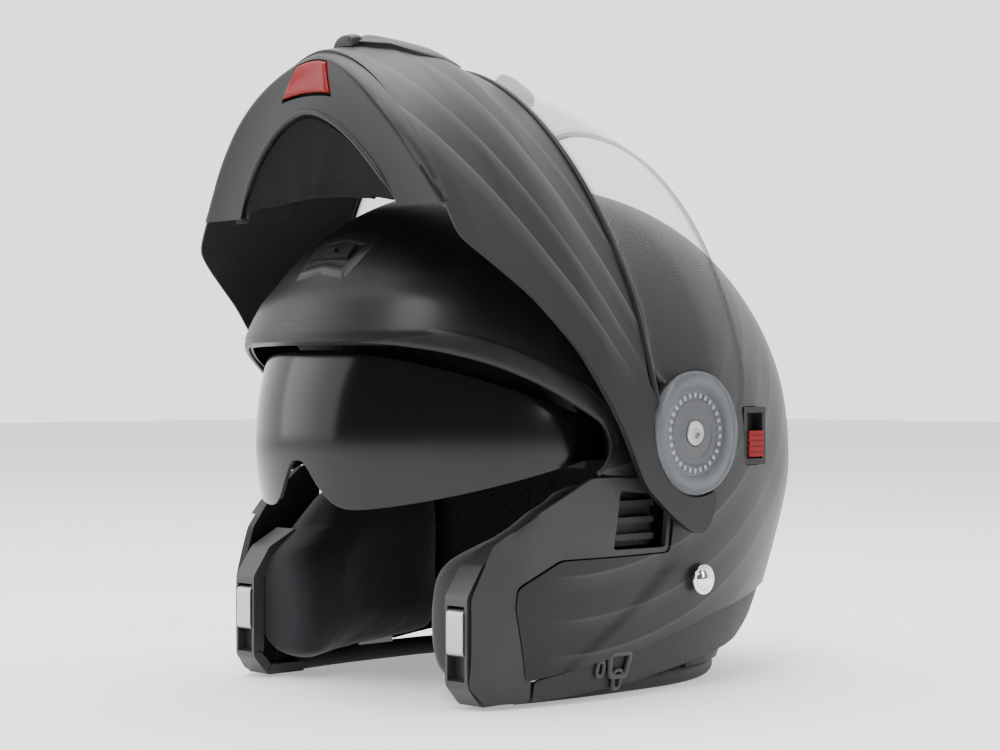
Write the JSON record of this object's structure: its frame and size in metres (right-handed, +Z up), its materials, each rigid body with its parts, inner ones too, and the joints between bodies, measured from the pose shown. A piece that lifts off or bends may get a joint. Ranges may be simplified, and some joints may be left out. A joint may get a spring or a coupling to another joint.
{
  "type": "motorcycle helmet",
  "caption": "Modular full-face motorcycle helmet with a flip-up chin bar, clear face shield, drop-down sun visor, padded lining and chin strap.",
  "frame": {"origin": "on the floor plane, under the middle of the helmet's box with the chin bar raised", "axes": "+Z up, the wearer looks along -Y, the wearer's left side is +X"},
  "size_m": [0.256, 0.313, 0.3253],
  "materials": {
    "shell_paint": "matte black paint on a composite shell, with grey sweeping streaks",
    "trim_rubber": "soft black rubber",
    "black_plastic": "fine-textured black plastic",
    "gloss_black": "smooth black plastic",
    "foam": "expanded foam, charcoal",
    "lining_fabric": "dark blue-black brushed fabric",
    "curtain_fabric": "woven black fabric with piped edge",
    "webbing": "woven strap webbing",
    "steel": "brushed steel",
    "chrome_rivet": "polished",
    "red_plastic": "satin red plastic",
    "clear_shield": "clear moulded polycarbonate",
    "smoke_visor": "dark smoke polycarbonate"
  },
  "bodies": {
    "helmet_shell": {"outer_shell": "shell_paint", "lower_rim": "trim_rubber", "neck_trim": "black_plastic", "brow_trim": "trim_rubber", "foam_liner": "foam", "crown_pad": "lining_fabric", "cheek_pad_left": "lining_fabric", "cheek_pad_right": "lining_fabric", "neck_roll": "lining_fabric", "jaw_cover_left": "black_plastic", "jaw_cover_right": "black_plastic", "jaw_front_left": "gloss_black", "jaw_front_right": "gloss_black", "striker_plate_left": "steel", "striker_plate_right": "steel", "arm_guide_left": "black_plastic", "arm_guide_right": "black_plastic", "strap_rivets": "chrome_rivet", "chin_strap_left": "webbing", "chin_strap_right": "webbing", "strap_buckle": "gloss_black", "strap_tongue": "steel", "rear_vent": "black_plastic", "forehead_vent_base": "gloss_black", "pivot_hub_left": "steel", "pivot_hub_right": "steel", "visor_pin_left": "steel", "visor_pin_right": "steel", "visor_slider_frame": "black_plastic"},
    "forehead_vent_slider": {"forehead_vent_slider": "gloss_black"},
    "visor_slider": {"visor_slider": "red_plastic"},
    "sun_visor": {"sun_visor": "smoke_visor"},
    "chin_bar": {"chin_bar_shell": "shell_paint", "chin_bar_base": "shell_paint", "chin_bar_liner": "foam", "chin_curtain": "curtain_fabric", "chin_vent_frame": "gloss_black", "gear_plate_left": "steel", "gear_plate_right": "steel", "hook_housing_left": "black_plastic", "hook_housing_right": "black_plastic"},
    "chin_vent_slider": {"chin_vent_slider": "gloss_black"},
    "latch_hook_left": {"latch_hook_left": "steel"},
    "latch_hook_right": {"latch_hook_right": "steel"},
    "release_tab": {"release_tab": "red_plastic"},
    "face_shield": {"face_shield": "clear_shield", "shield_tab": "clear_shield"}
  },
  "joints": [
    {"name": "chin_bar_hinge", "type": "hinge", "parent": "helmet_shell", "child": "chin_bar", "pos_m": [0, -0.00524, 0.127], "axis": [1, 0, 0], "range_deg": [0, 84]},
    {"name": "face_shield_hinge", "type": "hinge", "parent": "chin_bar", "child": "face_shield", "pos_m": [0, -0.00524, 0.127], "axis": [1, 0, 0], "range_deg": [-36, 0]},
    {"name": "sun_visor_hinge", "type": "hinge", "parent": "helmet_shell", "child": "sun_visor", "pos_m": [0, -0.01624, 0.123], "axis": [1, 0, 0], "range_deg": [-31, 0]},
    {"name": "visor_slider_slide", "type": "slide", "parent": "helmet_shell", "child": "visor_slider", "axis": [0, 0, 1], "range_m": [0, 0.0081]},
    {"name": "forehead_vent_slide", "type": "slide", "parent": "helmet_shell", "child": "forehead_vent_slider", "axis": [1, 0, 0], "range_m": [-0.004, 0.004]},
    {"name": "latch_hook_left_hinge", "type": "hinge", "parent": "chin_bar", "child": "latch_hook_left", "pos_m": [0, -0.10504, 0.24421], "axis": [1, 0, 0], "range_deg": [-15, 0], "stiffness_Nm_per_rad": 0.05},
    {"name": "latch_hook_right_hinge", "type": "hinge", "parent": "chin_bar", "child": "latch_hook_right", "pos_m": [0, -0.10504, 0.24421], "axis": [1, 0, 0], "range_deg": [-15, 0]},
    {"name": "release_tab_slide", "type": "slide", "parent": "chin_bar", "child": "release_tab", "axis": [0, 0.9361, -0.3518], "range_m": [0, 0.003]},
    {"name": "chin_vent_slide", "type": "slide", "parent": "chin_bar", "child": "chin_vent_slider", "axis": [0, 0.9777, 0.2099], "range_m": [0, 0.005]}
  ],
  "couplings": [
    {"joint": "visor_slider_slide", "follows": "sun_visor_hinge", "m_per_rad": -0.0148},
    {"joint": "latch_hook_right_hinge", "follows": "latch_hook_left_hinge", "ratio": 1},
    {"joint": "release_tab_slide", "follows": "latch_hook_left_hinge", "m_per_rad": -0.0114}
  ]
}
